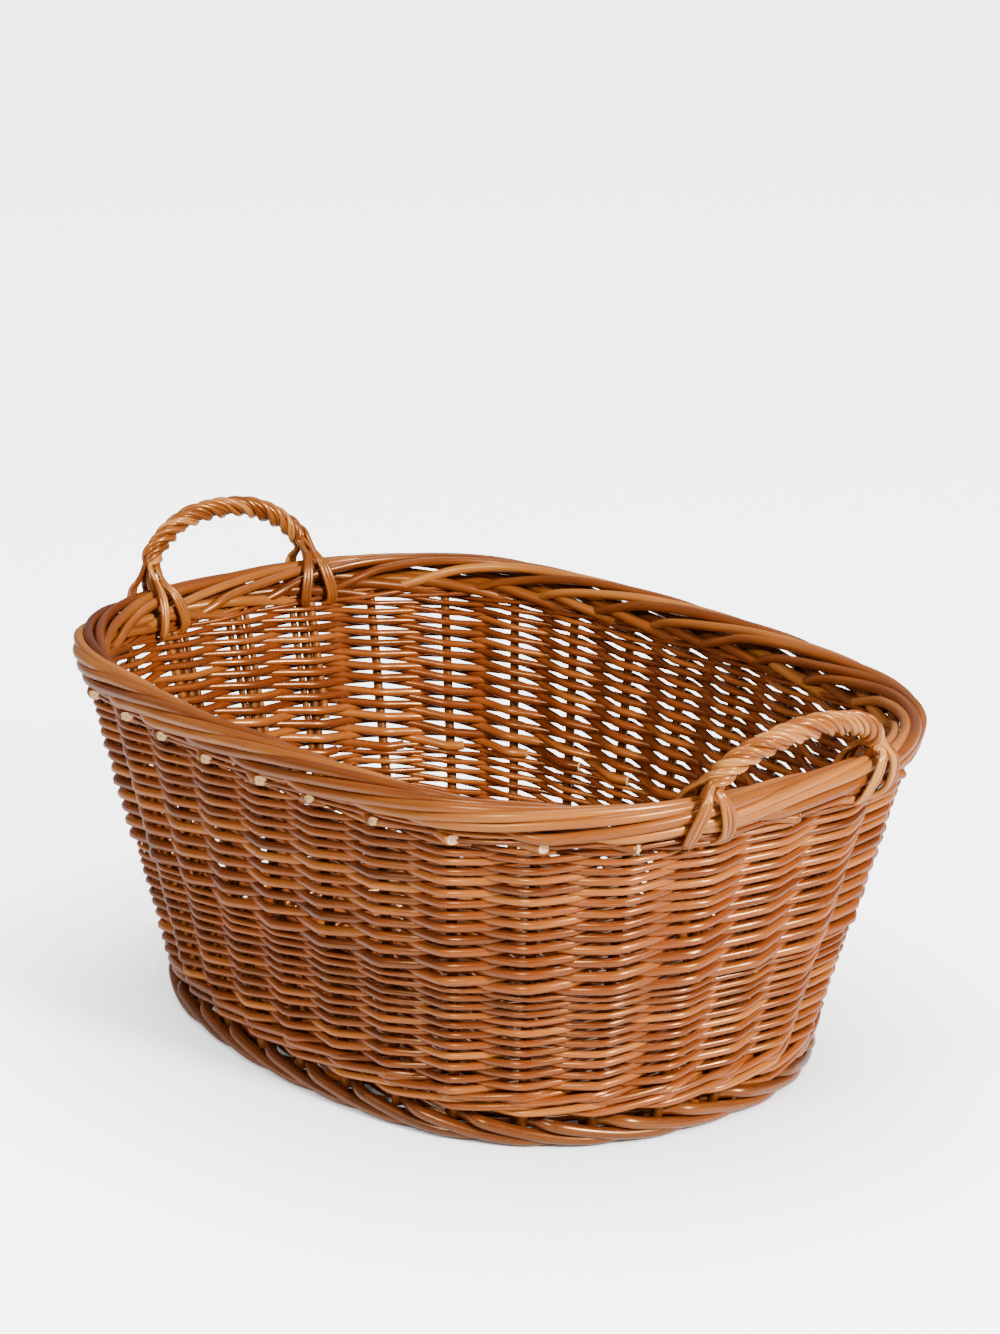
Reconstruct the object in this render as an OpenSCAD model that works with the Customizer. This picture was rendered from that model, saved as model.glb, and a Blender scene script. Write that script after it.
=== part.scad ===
// Oval willow log basket with two roped end handles.
// Origin: centre of the footprint, on the floor. +X along the length, +Y across, +Z up.

/* [Wall outline] */
// Height of the rim above the floor
rim_h = 275; // [230:1:340]
// Length of the wall's mid-surface at the rim
rim_l = 664; // [560:1:780]
// Width of the wall's mid-surface at the rim
rim_w = 460; // [400:1:540]
// Radius of the rim's rounded corners
rim_corner_r = 179; // [140:1:190]
// Length of the straight stretch across each end of the rim
rim_flat = 76; // [20:1:90]
// Length of the wall's mid-surface at the floor
base_l = 504; // [440:1:600]
// Width of the wall's mid-surface at the floor
base_w = 374; // [330:1:440]
// Radius of the base's rounded corners
base_corner_r = 163; // [120:1:164]
// Length of the straight stretch across each end of the base
base_flat = 24; // [0:1:40]

/* [Rods] */
// Number of side stakes
stake_count = 30; // [24:2:36]
// Diameter of a side stake
stake_d = 8; // [6:0.5:10]
// Diameter of a bye-stake, the second rod beside a stake near the handles
bye_d = 6; // [4:0.5:7]
// Diameter of a foot border rod
foot_rod_d = 9; // [7:0.5:11]
// Diameter of an upsett wale rod
upsett_rod_d = 7; // [5:0.5:8]
// Diameter of the lower band's weavers at their butts
lower_weaver_d = 5; // [4:0.5:6]
// Diameter of the upper band's weavers at their butts
upper_weaver_d = 6; // [4:0.5:7]
// Diameter of a top wale rod
top_wale_rod_d = 4; // [3:0.5:5]
// Diameter of a border rod
border_rod_d = 8.5; // [7:0.5:10]
// Height of the line where the lower band ends and the upper band starts
band_split_z = 125; // [100:1:150]

/* [Base] */
// Thickness of the woven base
base_t = 16; // [15:0.5:20]
// Number of long sticks
long_stick_count = 3; // [1:1:3]
// Diameter of a long stick
long_stick_d = 8.5; // [7:0.5:9]
// Distance between long sticks
long_stick_pitch = 24; // [18:1:30]
// Number of cross sticks
cross_stick_count = 7; // [3:1:7]
// Diameter of a cross stick
cross_stick_d = 12; // [11:0.5:13]
// Distance between cross sticks
cross_stick_pitch = 54; // [40:1:58]
// Bare base between a stick's end and the stakes
stick_end_margin = 14; // [8:1:30]

/* [Handles] */
// Rise of the left bow's centre line above the rim
left_bow_rise = 50; // [34:1:100]
// Rise of the right bow's centre line above the rim, a hand-made basket's being a little lower
right_bow_rise = 38; // [34:1:100]
// Lean of each bow's top beyond the rim's mid-surface
bow_lean = 16; // [0:1:45]
// Stake spaces between the middle of the end and a handle's leg
leg_space = 1.2; // [1.2:1:2.2]
// Depth that a leg reaches down into the wall, below the rim
leg_depth = 125; // [70:1:140]
// Number of rods roped round each bow
strand_count = 4; // [3:1:5]
// Diameter of a roped rod
strand_d = 5.5; // [4:0.5:6]
// Turns that each roped rod makes round the bow
strand_turns = 3.5; // [2:0.5:5]

/* [Fits] */
// Room round a stake, leg or stick where it passes through the weave
pass_gap = 0.3; // [0.1:0.1:0.6]
// Room between pieces that lie on each other
lay_gap = 0.3; // [0.1:0.1:0.6]

/* [Hidden] */
$fn = 64;

// An outline is [half length, half width, corner radius, half of the straight end].
base_outline = [base_l / 2, base_w / 2, base_corner_r, base_flat / 2];
rim_outline = [rim_l / 2, rim_w / 2, rim_corner_r, rim_flat / 2];

// Levels from the floor up.
foot_lower_z = foot_rod_d / 2;
foot_upper_z = foot_lower_z + foot_rod_d + lay_gap;
base_bottom_z = foot_rod_d + lay_gap;
base_top_z = base_bottom_z + base_t;
stick_z = base_bottom_z + base_t / 2;
upsett_z = foot_upper_z + foot_rod_d / 2 + upsett_rod_d / 2 + lay_gap;
upsett_inner_z = base_top_z + upsett_rod_d / 2 + lay_gap;
upsett_top_z = max(upsett_z + 1.5 * upsett_rod_d + lay_gap, upsett_inner_z + upsett_rod_d / 2);
lower_band_z = upsett_top_z + lay_gap;
border_layers = 3;
border_pitch = border_rod_d + lay_gap;
border_z = rim_h - border_rod_d / 2 - (border_layers - 1) * border_pitch;
top_wale_z = border_z - border_rod_d / 2 - 1.5 * top_wale_rod_d - 2 * lay_gap;
upper_band_top_z = top_wale_z - top_wale_rod_d / 2 - lay_gap;

// Rings have a station at each stake and one midway, with straight runs between.
ring_stations = 2 * stake_count;
rod_sides = 8;
// The wall's steepest lean, from upright.
lean = atan(max(rim_l - base_l, rim_w - base_w) / 2 / rim_h);
// From the middle of a ring rod to its corners.
function corner_r(d) = d / 2 / cos(180 / rod_sides);
// Sideways place of a level ring rod that lies against the leaning stakes, from the mid-surface.
function beside_stake(d) = (stake_d / 2 + pass_gap + corner_r(d)) / cos(lean);
// How far a ring's straight run cuts inside the corner arc, at a share f of the outline.
function run_sag(o, f) =
    let (run = 4 * quarter_len(o) / ring_stations, x = f * ring_stations - floor(f * ring_stations))
    run * run / o[2] * x * (1 - x) / 2;

stake_bottom_z = 2;
stake_top_z = rim_h - 3;
bye_bottom_z = lower_band_z + 5;
bye_top_z = border_z - border_rod_d / 2 - lay_gap;
// From a stake to its bye-stake, as a share of the whole outline.
bye_shift = (stake_d / 2 + bye_d / 2 + 2 * pass_gap) / (4 * quarter_len(base_outline));
bye_places = [for (end = [0, 0.5], q = [[-1, 1], [0, -1], [0, 1], [1, -1]])
    end + q[0] / stake_count + q[1] * bye_shift];

leg_places = [leg_space / stake_count, 0.5 - leg_space / stake_count];
leg_bottom_z = rim_h - leg_depth;
// A leg slants under the border to the nearest stake, and goes on down beside it.
leg_tuck_z = upper_band_top_z - 6;
leg_shift = (stake_d + 2 * pass_gap) / (4 * quarter_len(base_outline));
leg_stake = round(leg_space);
leg_tuck_place = leg_stake / stake_count + (leg_space < leg_stake ? -1 : 1) * leg_shift;
bow_steps = 24;
core_sides = 10;
strand_steps = 30;
strand_sides = 6;
// Share of the bow, at each end, that the rope leaves bare above the border.
rope_start = 0.07;
// Share of the outline between a leg and the furthest tail of its rope.
tail_spread = 0.008;

long_sticks = [for (i = [1:long_stick_count]) str("base_stick_long_", i)];
cross_sticks = [for (i = [1:cross_stick_count]) str("base_stick_cross_", i)];
stakes = [for (i = [1:stake_count]) str("stake_", i)];

function mix(a, b, t) = a + (b - a) * t;
function unit(v) = v / norm(v);
function turned(list) = [for (i = [len(list) - 1:-1:0]) list[i]];
function outline_at(z) = mix(base_outline, rim_outline, z / rim_h);

// The long side's arc is tangent to both corner arcs.
function side_r(o) =
    let (v = o[1] - o[3], c = o[0] - o[2])
    (v * v + c * c - o[2] * o[2]) / (2 * (v - o[2]));
function side_start(o) = atan2(o[3] - o[1] + side_r(o), o[0] - o[2]);
function corner_len(o) = o[2] * side_start(o) * PI / 180;
function quarter_len(o) = o[3] + corner_len(o) + side_r(o) * (90 - side_start(o)) * PI / 180;

// Point and outward direction at a distance u along the first quarter: [x, y, angle].
function on_quarter(o, u) =
    u <= o[3] ? [o[0], u, 0] :
    u <= o[3] + corner_len(o) ?
        let (a = (u - o[3]) / o[2] * 180 / PI)
        [o[0] - o[2] + o[2] * cos(a), o[3] + o[2] * sin(a), a] :
        let (a = side_start(o) + (u - o[3] - corner_len(o)) / side_r(o) * 180 / PI)
        [side_r(o) * cos(a), o[1] - side_r(o) + side_r(o) * sin(a), a];

// The same anywhere on the outline, at a share f of its length from the +X end.
function on_outline(o, f) =
    let (s = 4 * (f - floor(f)), q = min(3, floor(s)), odd = q % 2 == 1)
    let (p = on_quarter(o, (odd ? q + 1 - s : s - q) * quarter_len(o)))
    let (sx = (q == 0 || q == 3) ? 1 : -1, sy = q < 2 ? 1 : -1)
    [sx * p[0], sy * p[1], atan2(sy * sin(p[2]), sx * cos(p[2]))];

function pushed(p, off) = [p[0] + off * cos(p[2]), p[1] + off * sin(p[2])];

// A point of the wall: height z, share f of the way round, off outside the mid-surface.
function wall_point(z, f, off = 0) =
    let (low = pushed(on_outline(base_outline, f), off))
    let (high = pushed(on_outline(rim_outline, f), off))
    concat(mix(low, high, z / rim_h), z);

// A straight round rod from p to q.
module straight_rod(p, q, d) {
    v = q - p;
    translate(p)
        rotate([0, acos(v[2] / norm(v)), atan2(v[1], v[0])])
            cylinder(h = norm(v), d = d);
}

// A rod bent once round the basket at height z, off outside the mid-surface. It is eight-sided,
// flat underneath, so the lowest rods rest on the floor plane.
module ring_rod(z, off, d) {
    n = ring_stations;
    points = [for (k = [0:rod_sides - 1], i = [0:n - 1])
        let (a = 360 * (k + 0.5) / rod_sides, r = corner_r(d))
        let (p = pushed(on_outline(outline_at(z), i / n), off + r * cos(a)))
        [p[0], p[1], z + r * sin(a)]];
    faces = [for (k = [0:rod_sides - 1], i = [0:n - 1], half = [0, 1])
        let (j = (i + 1) % n, r = k * n, s = (k + 1) % rod_sides * n)
        half == 0 ? [r + i, s + i, s + j] : [r + i, s + j, r + j]];
    polyhedron(points, faces, convexity = 10);
}

// One face of a randed band, from z0 to z1: the weavers' strokes on that side of the stakes.
module band_face(z0, z1, d, side) {
    n = ring_stations;
    near = side * (stake_d / 2 + pass_gap);
    far = side * (stake_d / 2 + pass_gap + d);
    rows = [[z0, max(near, far)], [z1, max(near, far)], [z1, min(near, far)], [z0, min(near, far)]];
    points = [for (r = rows, i = [0:n - 1]) wall_point(r[0], i / n, r[1])];
    faces = [for (r = [0:3], i = [0:n - 1], half = [0, 1])
        let (j = (i + 1) % n, a = r * n, b = (r + 1) % 4 * n)
        half == 0 ? [a + i, b + i, b + j] : [a + i, b + j, a + j]];
    polyhedron(points, faces, convexity = 10);
}

// A rod swept along a path, with frames carried from point to point so that it doesn't twist.
module swept_rod(path, d, sides) {
    n = len(path);
    along = [for (i = [0:n - 1]) unit(path[min(i + 1, n - 1)] - path[max(i - 1, 0)])];
    first = unit(cross(along[0], abs(along[0][0]) < 0.9 ? [1, 0, 0] : [0, 1, 0]));
    across = [for (i = 0, u = first; i < n;
        u = i + 1 < n ? unit(u - (u * along[i + 1]) * along[i + 1]) : u, i = i + 1) u];
    points = [for (i = [0:n - 1], k = [0:sides - 1])
        let (a = 360 * k / sides)
        path[i] + d / 2 * (cos(a) * across[i] + sin(a) * cross(along[i], across[i]))];
    skin = [for (i = [0:n - 2], k = [0:sides - 1], half = [0, 1])
        let (a = i * sides, b = a + sides, m = (k + 1) % sides)
        half == 0 ? [a + k, b + k, b + m] : [a + k, b + m, a + m]];
    caps = [[for (k = [0:sides - 1]) k], [for (k = [0:sides - 1]) n * sides - 1 - k]];
    polyhedron(points, concat(skin, caps), convexity = 10);
}

module stake(i) {
    f = (i - 1) / stake_count;
    color("peru") straight_rod(wall_point(stake_bottom_z, f), wall_point(stake_top_z, f), stake_d);
}

module bye_rod(f, d) {
    straight_rod(wall_point(bye_bottom_z, f), wall_point(bye_top_z, f), d);
}

module bye_stakes() {
    color("burlywood") for (f = bye_places) bye_rod(f, bye_d);
}

// The ways that the stakes take through the edge of the base.
module stake_holes() {
    for (i = [0:stake_count - 1])
        straight_rod(wall_point(0, i / stake_count), wall_point(rim_h, i / stake_count),
            stake_d + 2 * pass_gap);
}

// Foot border
module foot_rod(z, side) {
    color("sienna") ring_rod(z, side * beside_stake(foot_rod_d), foot_rod_d);
}

// Base: long sticks thread through slots in the cross sticks, and the weave holds both.
function long_stick_y(i) = (i - (long_stick_count + 1) / 2) * long_stick_pitch;
function cross_stick_x(i) = (i - (cross_stick_count + 1) / 2) * cross_stick_pitch;
// Half width of an outline at x, and its half length at y.
function half_width_at(o, x) = sqrt(pow(side_r(o), 2) - x * x) - side_r(o) + o[1];
function half_length_at(o, y) =
    abs(y) <= o[3] ? o[0] : o[0] - o[2] + sqrt(pow(o[2], 2) - pow(abs(y) - o[3], 2));
function corner_half_width_at(o, x) = o[3] + sqrt(pow(o[2], 2) - pow(abs(x) - o[0] + o[2], 2));
function half_width(o, x) =
    abs(x) <= side_r(o) * cos(side_start(o)) ? half_width_at(o, x) : corner_half_width_at(o, x);

module long_stick(i, room = 0) {
    reach = half_length_at(outline_at(stick_z), long_stick_y(i)) - stake_d / 2 - stick_end_margin;
    translate([-reach - room, long_stick_y(i), stick_z])
        rotate([0, 90, 0]) cylinder(h = 2 * (reach + room), d = long_stick_d + 2 * room);
}

module cross_stick(i, room = 0) {
    reach = half_width(outline_at(stick_z), cross_stick_x(i)) - stake_d / 2 - stick_end_margin;
    translate([cross_stick_x(i), reach + room, stick_z])
        rotate([90, 0, 0]) cylinder(h = 2 * (reach + room), d = cross_stick_d + 2 * room);
}

module slotted_cross_stick(i) {
    slot = long_stick_d + 2 * pass_gap;
    color("tan") difference() {
        cross_stick(i);
        for (k = [1:long_stick_count])
            translate([cross_stick_x(i), long_stick_y(k), stick_z])
                cube([2 * cross_stick_d, slot, slot], center = true);
    }
}

module base_weave() {
    o = outline_at(stick_z);
    n = ring_stations;
    color("chocolate") difference() {
        translate([0, 0, base_bottom_z]) linear_extrude(base_t)
            polygon([for (i = [0:n - 1]) pushed(on_outline(o, i / n), 0)]);
        stake_holes();
        for (i = [1:long_stick_count]) long_stick(i, pass_gap);
        for (i = [1:cross_stick_count]) cross_stick(i, pass_gap);
    }
}

// Wall
module upsett_rod(z, side) {
    color("sienna") ring_rod(z, side * beside_stake(upsett_rod_d), upsett_rod_d);
}

module lower_rand(side) {
    color("chocolate") band_face(lower_band_z, band_split_z - lay_gap, lower_weaver_d, side);
}

module upper_rand(side) {
    color("peru") band_face(band_split_z, upper_band_top_z, upper_weaver_d, side);
}

module top_wale() {
    off = beside_stake(top_wale_rod_d);
    color("sandybrown") {
        ring_rod(top_wale_z, off, top_wale_rod_d);
        ring_rod(top_wale_z + top_wale_rod_d + lay_gap, off, top_wale_rod_d);
        ring_rod(top_wale_z, -off, top_wale_rod_d);
    }
}

module border_rods(side) {
    color("peru") for (i = [0:border_layers - 1])
        ring_rod(border_z + i * border_pitch, side * beside_stake(border_rod_d), border_rod_d);
}

// Handles. The bow is a half oval between the tops of its legs, leaning outwards.
leg_top = wall_point(rim_h, leg_places[0]);
function bow_point(t, rise) = [
    mix(leg_top[0], rim_l / 2 + bow_lean, pow(sin(180 * t), 0.9)),
    leg_top[1] * cos(180 * t),
    rim_h + rise * pow(sin(180 * t), 0.9)];
function leg_share(z) =
    mix(leg_tuck_place, leg_places[0], max(0, (z - leg_tuck_z) / (rim_h - leg_tuck_z)));
function leg_point(z, side) =
    let (f = leg_share(z), p = wall_point(z, f, -run_sag(outline_at(z), f))) [p[0], side * p[1], p[2]];

module bow(rise) {
    levels = [leg_bottom_z, mix(leg_bottom_z, leg_tuck_z, 0.5), leg_tuck_z, mix(leg_tuck_z, rim_h, 0.5)];
    path = concat(
        [for (z = levels) leg_point(z, 1)],
        [for (i = [0:bow_steps]) bow_point(i / bow_steps, rise)],
        [for (z = turned(levels)) leg_point(z, -1)]);
    color("peru") swept_rod(path, stake_d, core_sides);
}

// A strand's point: t of the way along the roped part of the bow, started at angle a.
function strand_angle(t, a) = a + 360 * strand_turns * t;
function strand_point(t, a, rise) =
    let (b = mix(rope_start, 1 - rope_start, t), p = bow_point(b, rise), w = strand_angle(t, a))
    let (along = unit(bow_point(b + 0.01, rise) - bow_point(b - 0.01, rise)))
    let (u = unit(cross(along, [1, 0, 0])), v = cross(along, u))
    p + (stake_d / 2 + strand_d / 2 + pass_gap) * (cos(w) * u + sin(w) * v);

// The tail at a strand's end: over the border, down its face and hooked under it. A strand that
// leaves the bow on its outer half goes outside the wall, any other goes inside.
function strand_tail(w, side) =
    let (out = sin(w) < 0 ? 1 : -1, sag = out < 0 ? run_sag(rim_outline, 0.5 / ring_stations) : 0)
    let (face = beside_stake(border_rod_d) + corner_r(border_rod_d) + lay_gap + sag)
    let (under = border_z - border_rod_d / 2 - strand_d / 2 - lay_gap)
    [for (q = [
        [0.6, face - 1, rim_h + strand_d / 2 + 2],
        [0.8, face + strand_d / 2, rim_h - border_rod_d / 2],
        [1, face + strand_d / 2, border_z],
        [1, face - 2, under]])
        let (p = wall_point(rim_h, leg_places[0] + q[0] * tail_spread * cos(w), out * q[1]))
        let (slope = (rim_l - base_l) / 2 / rim_h * (rim_h - q[2]) * (q[2] < rim_h ? 1 : 0))
        [p[0] - slope, side * p[1], q[2]]];

module rope(rise) {
    color("burlywood") for (k = [0:strand_count - 1])
        let (a = 45 + 360 * k / strand_count)
        swept_rod(concat(
            turned(strand_tail(a, 1)),
            [for (i = [0:strand_steps]) strand_point(i / strand_steps, a, rise)],
            strand_tail(strand_angle(1, a), -1)), strand_d, strand_sides);
}

foot_rod(foot_lower_z, 1);  // foot_rod_lower_outer
foot_rod(foot_lower_z, -1);  // foot_rod_lower_inner
foot_rod(foot_upper_z, 1);  // foot_rod_upper
base_weave();
for (i = [1:long_stick_count])
    color("tan") long_stick(i);
for (i = [1:cross_stick_count])
    slotted_cross_stick(i);
upsett_rod(upsett_z, 1);  // upsett_rod_1
upsett_rod(upsett_z + upsett_rod_d + lay_gap, 1);  // upsett_rod_2
upsett_rod(upsett_inner_z, -1);  // upsett_rod_inner
lower_rand(1);  // lower_rand_outer
lower_rand(-1);  // lower_rand_inner
upper_rand(1);  // upper_rand_outer
upper_rand(-1);  // upper_rand_inner
top_wale();
border_rods(1);  // border_outer_rods
border_rods(-1);  // border_inner_rods
mirror([1, 0, 0]) bow(left_bow_rise);  // handle_left_bow
mirror([1, 0, 0]) rope(left_bow_rise);  // handle_left_rope
bow(right_bow_rise);  // handle_right_bow
rope(right_bow_rise);  // handle_right_rope
bye_stakes();
for (i = [1:stake_count])
    stake(i);
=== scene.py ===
"""Oval willow log basket: every rod is bent from a tapered cone and woven round the stakes.

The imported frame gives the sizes. A place on the wall is a height, a distance round it in
stake spaces, and a distance outside its mid-surface. Lengths are in metres.
"""
import logging
import math
from dataclasses import dataclass
from enum import Enum
from typing import Dict, List, Optional, Sequence, Tuple

import bmesh
import bpy
import numpy as np
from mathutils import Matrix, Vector


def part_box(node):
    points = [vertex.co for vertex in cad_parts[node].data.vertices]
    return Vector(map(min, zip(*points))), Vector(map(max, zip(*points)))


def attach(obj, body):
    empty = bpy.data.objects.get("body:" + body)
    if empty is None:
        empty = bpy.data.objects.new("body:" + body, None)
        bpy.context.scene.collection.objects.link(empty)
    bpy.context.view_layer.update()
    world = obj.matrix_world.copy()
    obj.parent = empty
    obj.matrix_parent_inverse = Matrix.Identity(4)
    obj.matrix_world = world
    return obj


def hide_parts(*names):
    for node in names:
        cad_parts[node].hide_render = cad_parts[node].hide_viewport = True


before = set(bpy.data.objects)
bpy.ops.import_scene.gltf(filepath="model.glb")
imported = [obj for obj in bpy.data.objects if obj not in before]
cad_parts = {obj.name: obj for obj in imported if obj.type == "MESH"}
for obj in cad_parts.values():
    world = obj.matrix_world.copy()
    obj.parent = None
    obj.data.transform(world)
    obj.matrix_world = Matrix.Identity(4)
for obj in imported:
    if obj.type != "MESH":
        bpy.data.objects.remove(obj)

log = logging.getLogger("basket")

MM = 0.001
STAKES = 30
STAKE_NODES = [f"stake_{i + 1}" for i in range(STAKES)]
LONG_NODES = [f"base_stick_long_{i}" for i in (1, 2, 3)]
CROSS_NODES = [f"base_stick_cross_{i}" for i in range(1, 8)]
SAMPLES_PER_SPACE = 8
GOLDEN = 0.618034
WAVE_EDGE = 0.985
FLOOR_GLOW = 3.9
SKY_SEEN = 4.70
SKY_LIGHT = 0.40
SKY_GLOSS_LOSS = 0.12

Colour = Tuple[float, float, float]
Knot = Tuple[float, float, float]


class Finish(Enum):
    """The kinds of willow in the basket, by the record's slot names."""

    WEAVE = "willow_weave"
    FOOT = "willow_foot"
    BORDER = "willow_border"
    HANDLE = "willow_handle"
    STICK = "willow_stick"


@dataclass(frozen=True)
class WillowLook:
    """Colours and sheen of one finish.

    Args:
        dark: colour of the darkest rods.
        middle: colour of a usual rod.
        light: colour of the palest rods.
        roughness: roughness of the skin.
        shine: specular level of the waxy skin.
    """

    dark: Colour
    middle: Colour
    light: Colour
    roughness: float
    shine: float


LOOKS: Dict[Finish, WillowLook] = {
    Finish.WEAVE: WillowLook((0.058, 0.0080, 0.0009), (0.175, 0.0350, 0.0042),
                             (0.360, 0.1080, 0.0170), 0.27, 1.0),
    Finish.FOOT: WillowLook((0.038, 0.0056, 0.0008), (0.092, 0.0190, 0.0025),
                            (0.215, 0.0590, 0.0090), 0.30, 0.95),
    Finish.BORDER: WillowLook((0.080, 0.0130, 0.0016), (0.195, 0.0480, 0.0062),
                              (0.370, 0.1250, 0.0220), 0.31, 0.9),
    Finish.HANDLE: WillowLook((0.085, 0.0150, 0.0020), (0.240, 0.0660, 0.0090),
                              (0.470, 0.1950, 0.0430), 0.28, 1.0),
    Finish.STICK: WillowLook((0.045, 0.0085, 0.0012), (0.115, 0.0290, 0.0040),
                             (0.250, 0.0820, 0.0150), 0.38, 0.6),
}
CUT_COLOUR = (0.60, 0.38, 0.17)
RING_COLOUR = (0.36, 0.16, 0.045)
SHINE_TINT = (1.0, 0.56, 0.27, 1.0)


@dataclass(frozen=True)
class Outline:
    """An oval with short straight ends, corner arcs and long side arcs.

    Args:
        half_l: half length.
        half_w: half width.
        corner: radius of the corner arcs.
        flat: half length of each straight end.
    """

    half_l: float
    half_w: float
    corner: float
    flat: float

    @property
    def side(self) -> float:
        """Radius of the arcs along the two long sides."""
        v, c = self.half_w - self.flat, self.half_l - self.corner
        return (v * v + c * c - self.corner ** 2) / (2 * (v - self.corner))

    @property
    def side_start(self) -> float:
        """Angle at which a corner arc meets a side arc."""
        return math.atan2(self.flat - self.half_w + self.side, self.half_l - self.corner)

    @property
    def quarter(self) -> float:
        """Length of a quarter of the outline."""
        side_turn = math.pi / 2 - self.side_start
        return self.flat + self.corner * self.side_start + self.side * side_turn

    def at(self, f: np.ndarray, inset: float = 0.0) -> Tuple[np.ndarray, np.ndarray]:
        """Points and outward normals at shares f of the length, from the +X end.

        Args:
            f: shares of the whole outline, counted anticlockwise from above.
            inset: distance by which the points are moved inwards.

        Returns:
            Arrays of (x, y) points and (x, y) normals.
        """
        s = 4 * (f - np.floor(f))
        q = np.minimum(3, np.floor(s)).astype(int)
        u = np.where(q % 2 == 1, q + 1 - s, s - q) * self.quarter
        corner_end = self.flat + self.corner * self.side_start
        a_corner = np.clip((u - self.flat) / self.corner, 0, None)
        a_side = self.side_start + (u - corner_end) / self.side
        on_side = u > corner_end
        a = np.where(on_side, a_side, a_corner)
        r = np.where(on_side, self.side, self.corner)
        cx = np.where(on_side, 0.0, self.half_l - self.corner)
        cy = np.where(on_side, self.half_w - self.side, np.minimum(u, self.flat))
        sx = np.where((q == 0) | (q == 3), 1.0, -1.0)
        sy = np.where(q < 2, 1.0, -1.0)
        normal = np.stack([sx * np.cos(a), sy * np.sin(a)], axis=-1)
        point = np.stack([sx * cx, sy * cy], axis=-1) + normal * r[..., None]
        return point - normal * inset, normal


class Wall:
    """The basket's flared wall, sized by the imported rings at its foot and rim."""

    def __init__(self) -> None:
        """Read the rings' sizes from the frame."""
        foot = self._ring("foot_rod_lower_outer", "foot_rod_lower_inner")
        rim = self._ring("border_outer_rods", "border_inner_rods")
        border_low, border_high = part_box("border_outer_rods")
        foot_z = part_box("foot_rod_lower_outer")[1][2] / 2
        self.top = border_high[2]
        rim_z = self.top - (border_high[2] - border_low[2]) / 6
        self.base = self._level(foot, rim, foot_z, rim_z, 0.0, 0.935, 0.064)
        self.rim = self._level(foot, rim, foot_z, rim_z, self.top, 0.932, 0.165)
        log.info("base %s, rim %s, top %.4f", self.base, self.rim, self.top)

    @staticmethod
    def _ring(outer: str, inner: str) -> Tuple[float, float]:
        """Half length and width midway between an outer and an inner ring."""
        big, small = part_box(outer)[1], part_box(inner)[1]
        return (big[0] + small[0]) / 2, (big[1] + small[1]) / 2

    @staticmethod
    def _level(foot: Tuple[float, float], rim: Tuple[float, float], foot_z: float, rim_z: float,
               z: float, corner_share: float, flat_share: float) -> Outline:
        """The outline at one height, on the straight flare through the foot and rim rings.

        Args:
            foot: half length and half width at the foot ring.
            rim: the same at the rim ring.
            foot_z: height of the foot ring.
            rim_z: height of the rim ring.
            z: height of the outline.
            corner_share: corner radius as a share of what the flat end leaves.
            flat_share: half length of the flat end as a share of the half width.

        Returns:
            The outline of the wall's middle there.
        """
        spread = 4.4 * MM
        t = (z - foot_z) / (rim_z - foot_z)
        half_l = foot[0] + (rim[0] - foot[0]) * t - spread
        half_w = foot[1] + (rim[1] - foot[1]) * t - spread
        flat = half_w * flat_share
        return Outline(half_l, half_w, (half_w - flat) * corner_share, flat)

    def points(self, z: np.ndarray, s: np.ndarray, off: np.ndarray) -> np.ndarray:
        """Places on the wall as points.

        Args:
            z: heights.
            s: places round the wall, in stake spaces from the middle of the +X end.
            off: distances outside the wall's middle.

        Returns:
            One point for each place.
        """
        low, low_n = self.base.at(np.asarray(s) / STAKES)
        high, high_n = self.rim.at(np.asarray(s) / STAKES)
        t = (np.asarray(z) / self.top)[..., None]
        off = np.asarray(off)[..., None]
        xy = (low + low_n * off) * (1 - t) + (high + high_n * off) * t
        level = np.broadcast_to(np.asarray(z)[..., None], xy[..., :1].shape)
        return np.concatenate([xy, level], axis=-1)

    def space(self, z: float) -> float:
        """Mean distance between stakes at height z."""
        t = z / self.top
        return 4 * (self.base.quarter * (1 - t) + self.rim.quarter * t) / STAKES


def smooth_noise(rng: np.random.Generator, count: int, every: int) -> np.ndarray:
    """A smooth random curve.

    Args:
        rng: source of the random values.
        count: number of samples.
        every: samples between two random values.

    Returns:
        The curve's samples, about -2 to 2.
    """
    knots = rng.normal(size=max(4, count // every + 3))
    x = np.linspace(0, len(knots) - 1, count)
    i = np.clip(np.floor(x).astype(int), 0, len(knots) - 2)
    t = x - i
    t = t * t * (3 - 2 * t)
    return knots[i] * (1 - t) + knots[i + 1] * t


def spline(points: Sequence[Sequence[float]], count: int) -> np.ndarray:
    """A Catmull-Rom curve through some points.

    Args:
        points: the points that it passes.
        count: number of samples, spread evenly by knot.

    Returns:
        The curve's samples.
    """
    p = np.asarray(points, dtype=float)
    p = np.vstack([2 * p[0] - p[1], p, 2 * p[-1] - p[-2]])
    x = np.linspace(0, len(p) - 3 - 1e-9, count)
    i = np.floor(x).astype(int)
    t = (x - i)[:, None]
    a, b, c, d = p[i], p[i + 1], p[i + 2], p[i + 3]
    return 0.5 * (2 * b + (c - a) * t + (2 * a - 5 * b + 4 * c - d) * t ** 2
                  + (3 * b - 3 * c + d - a) * t ** 3)


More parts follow.
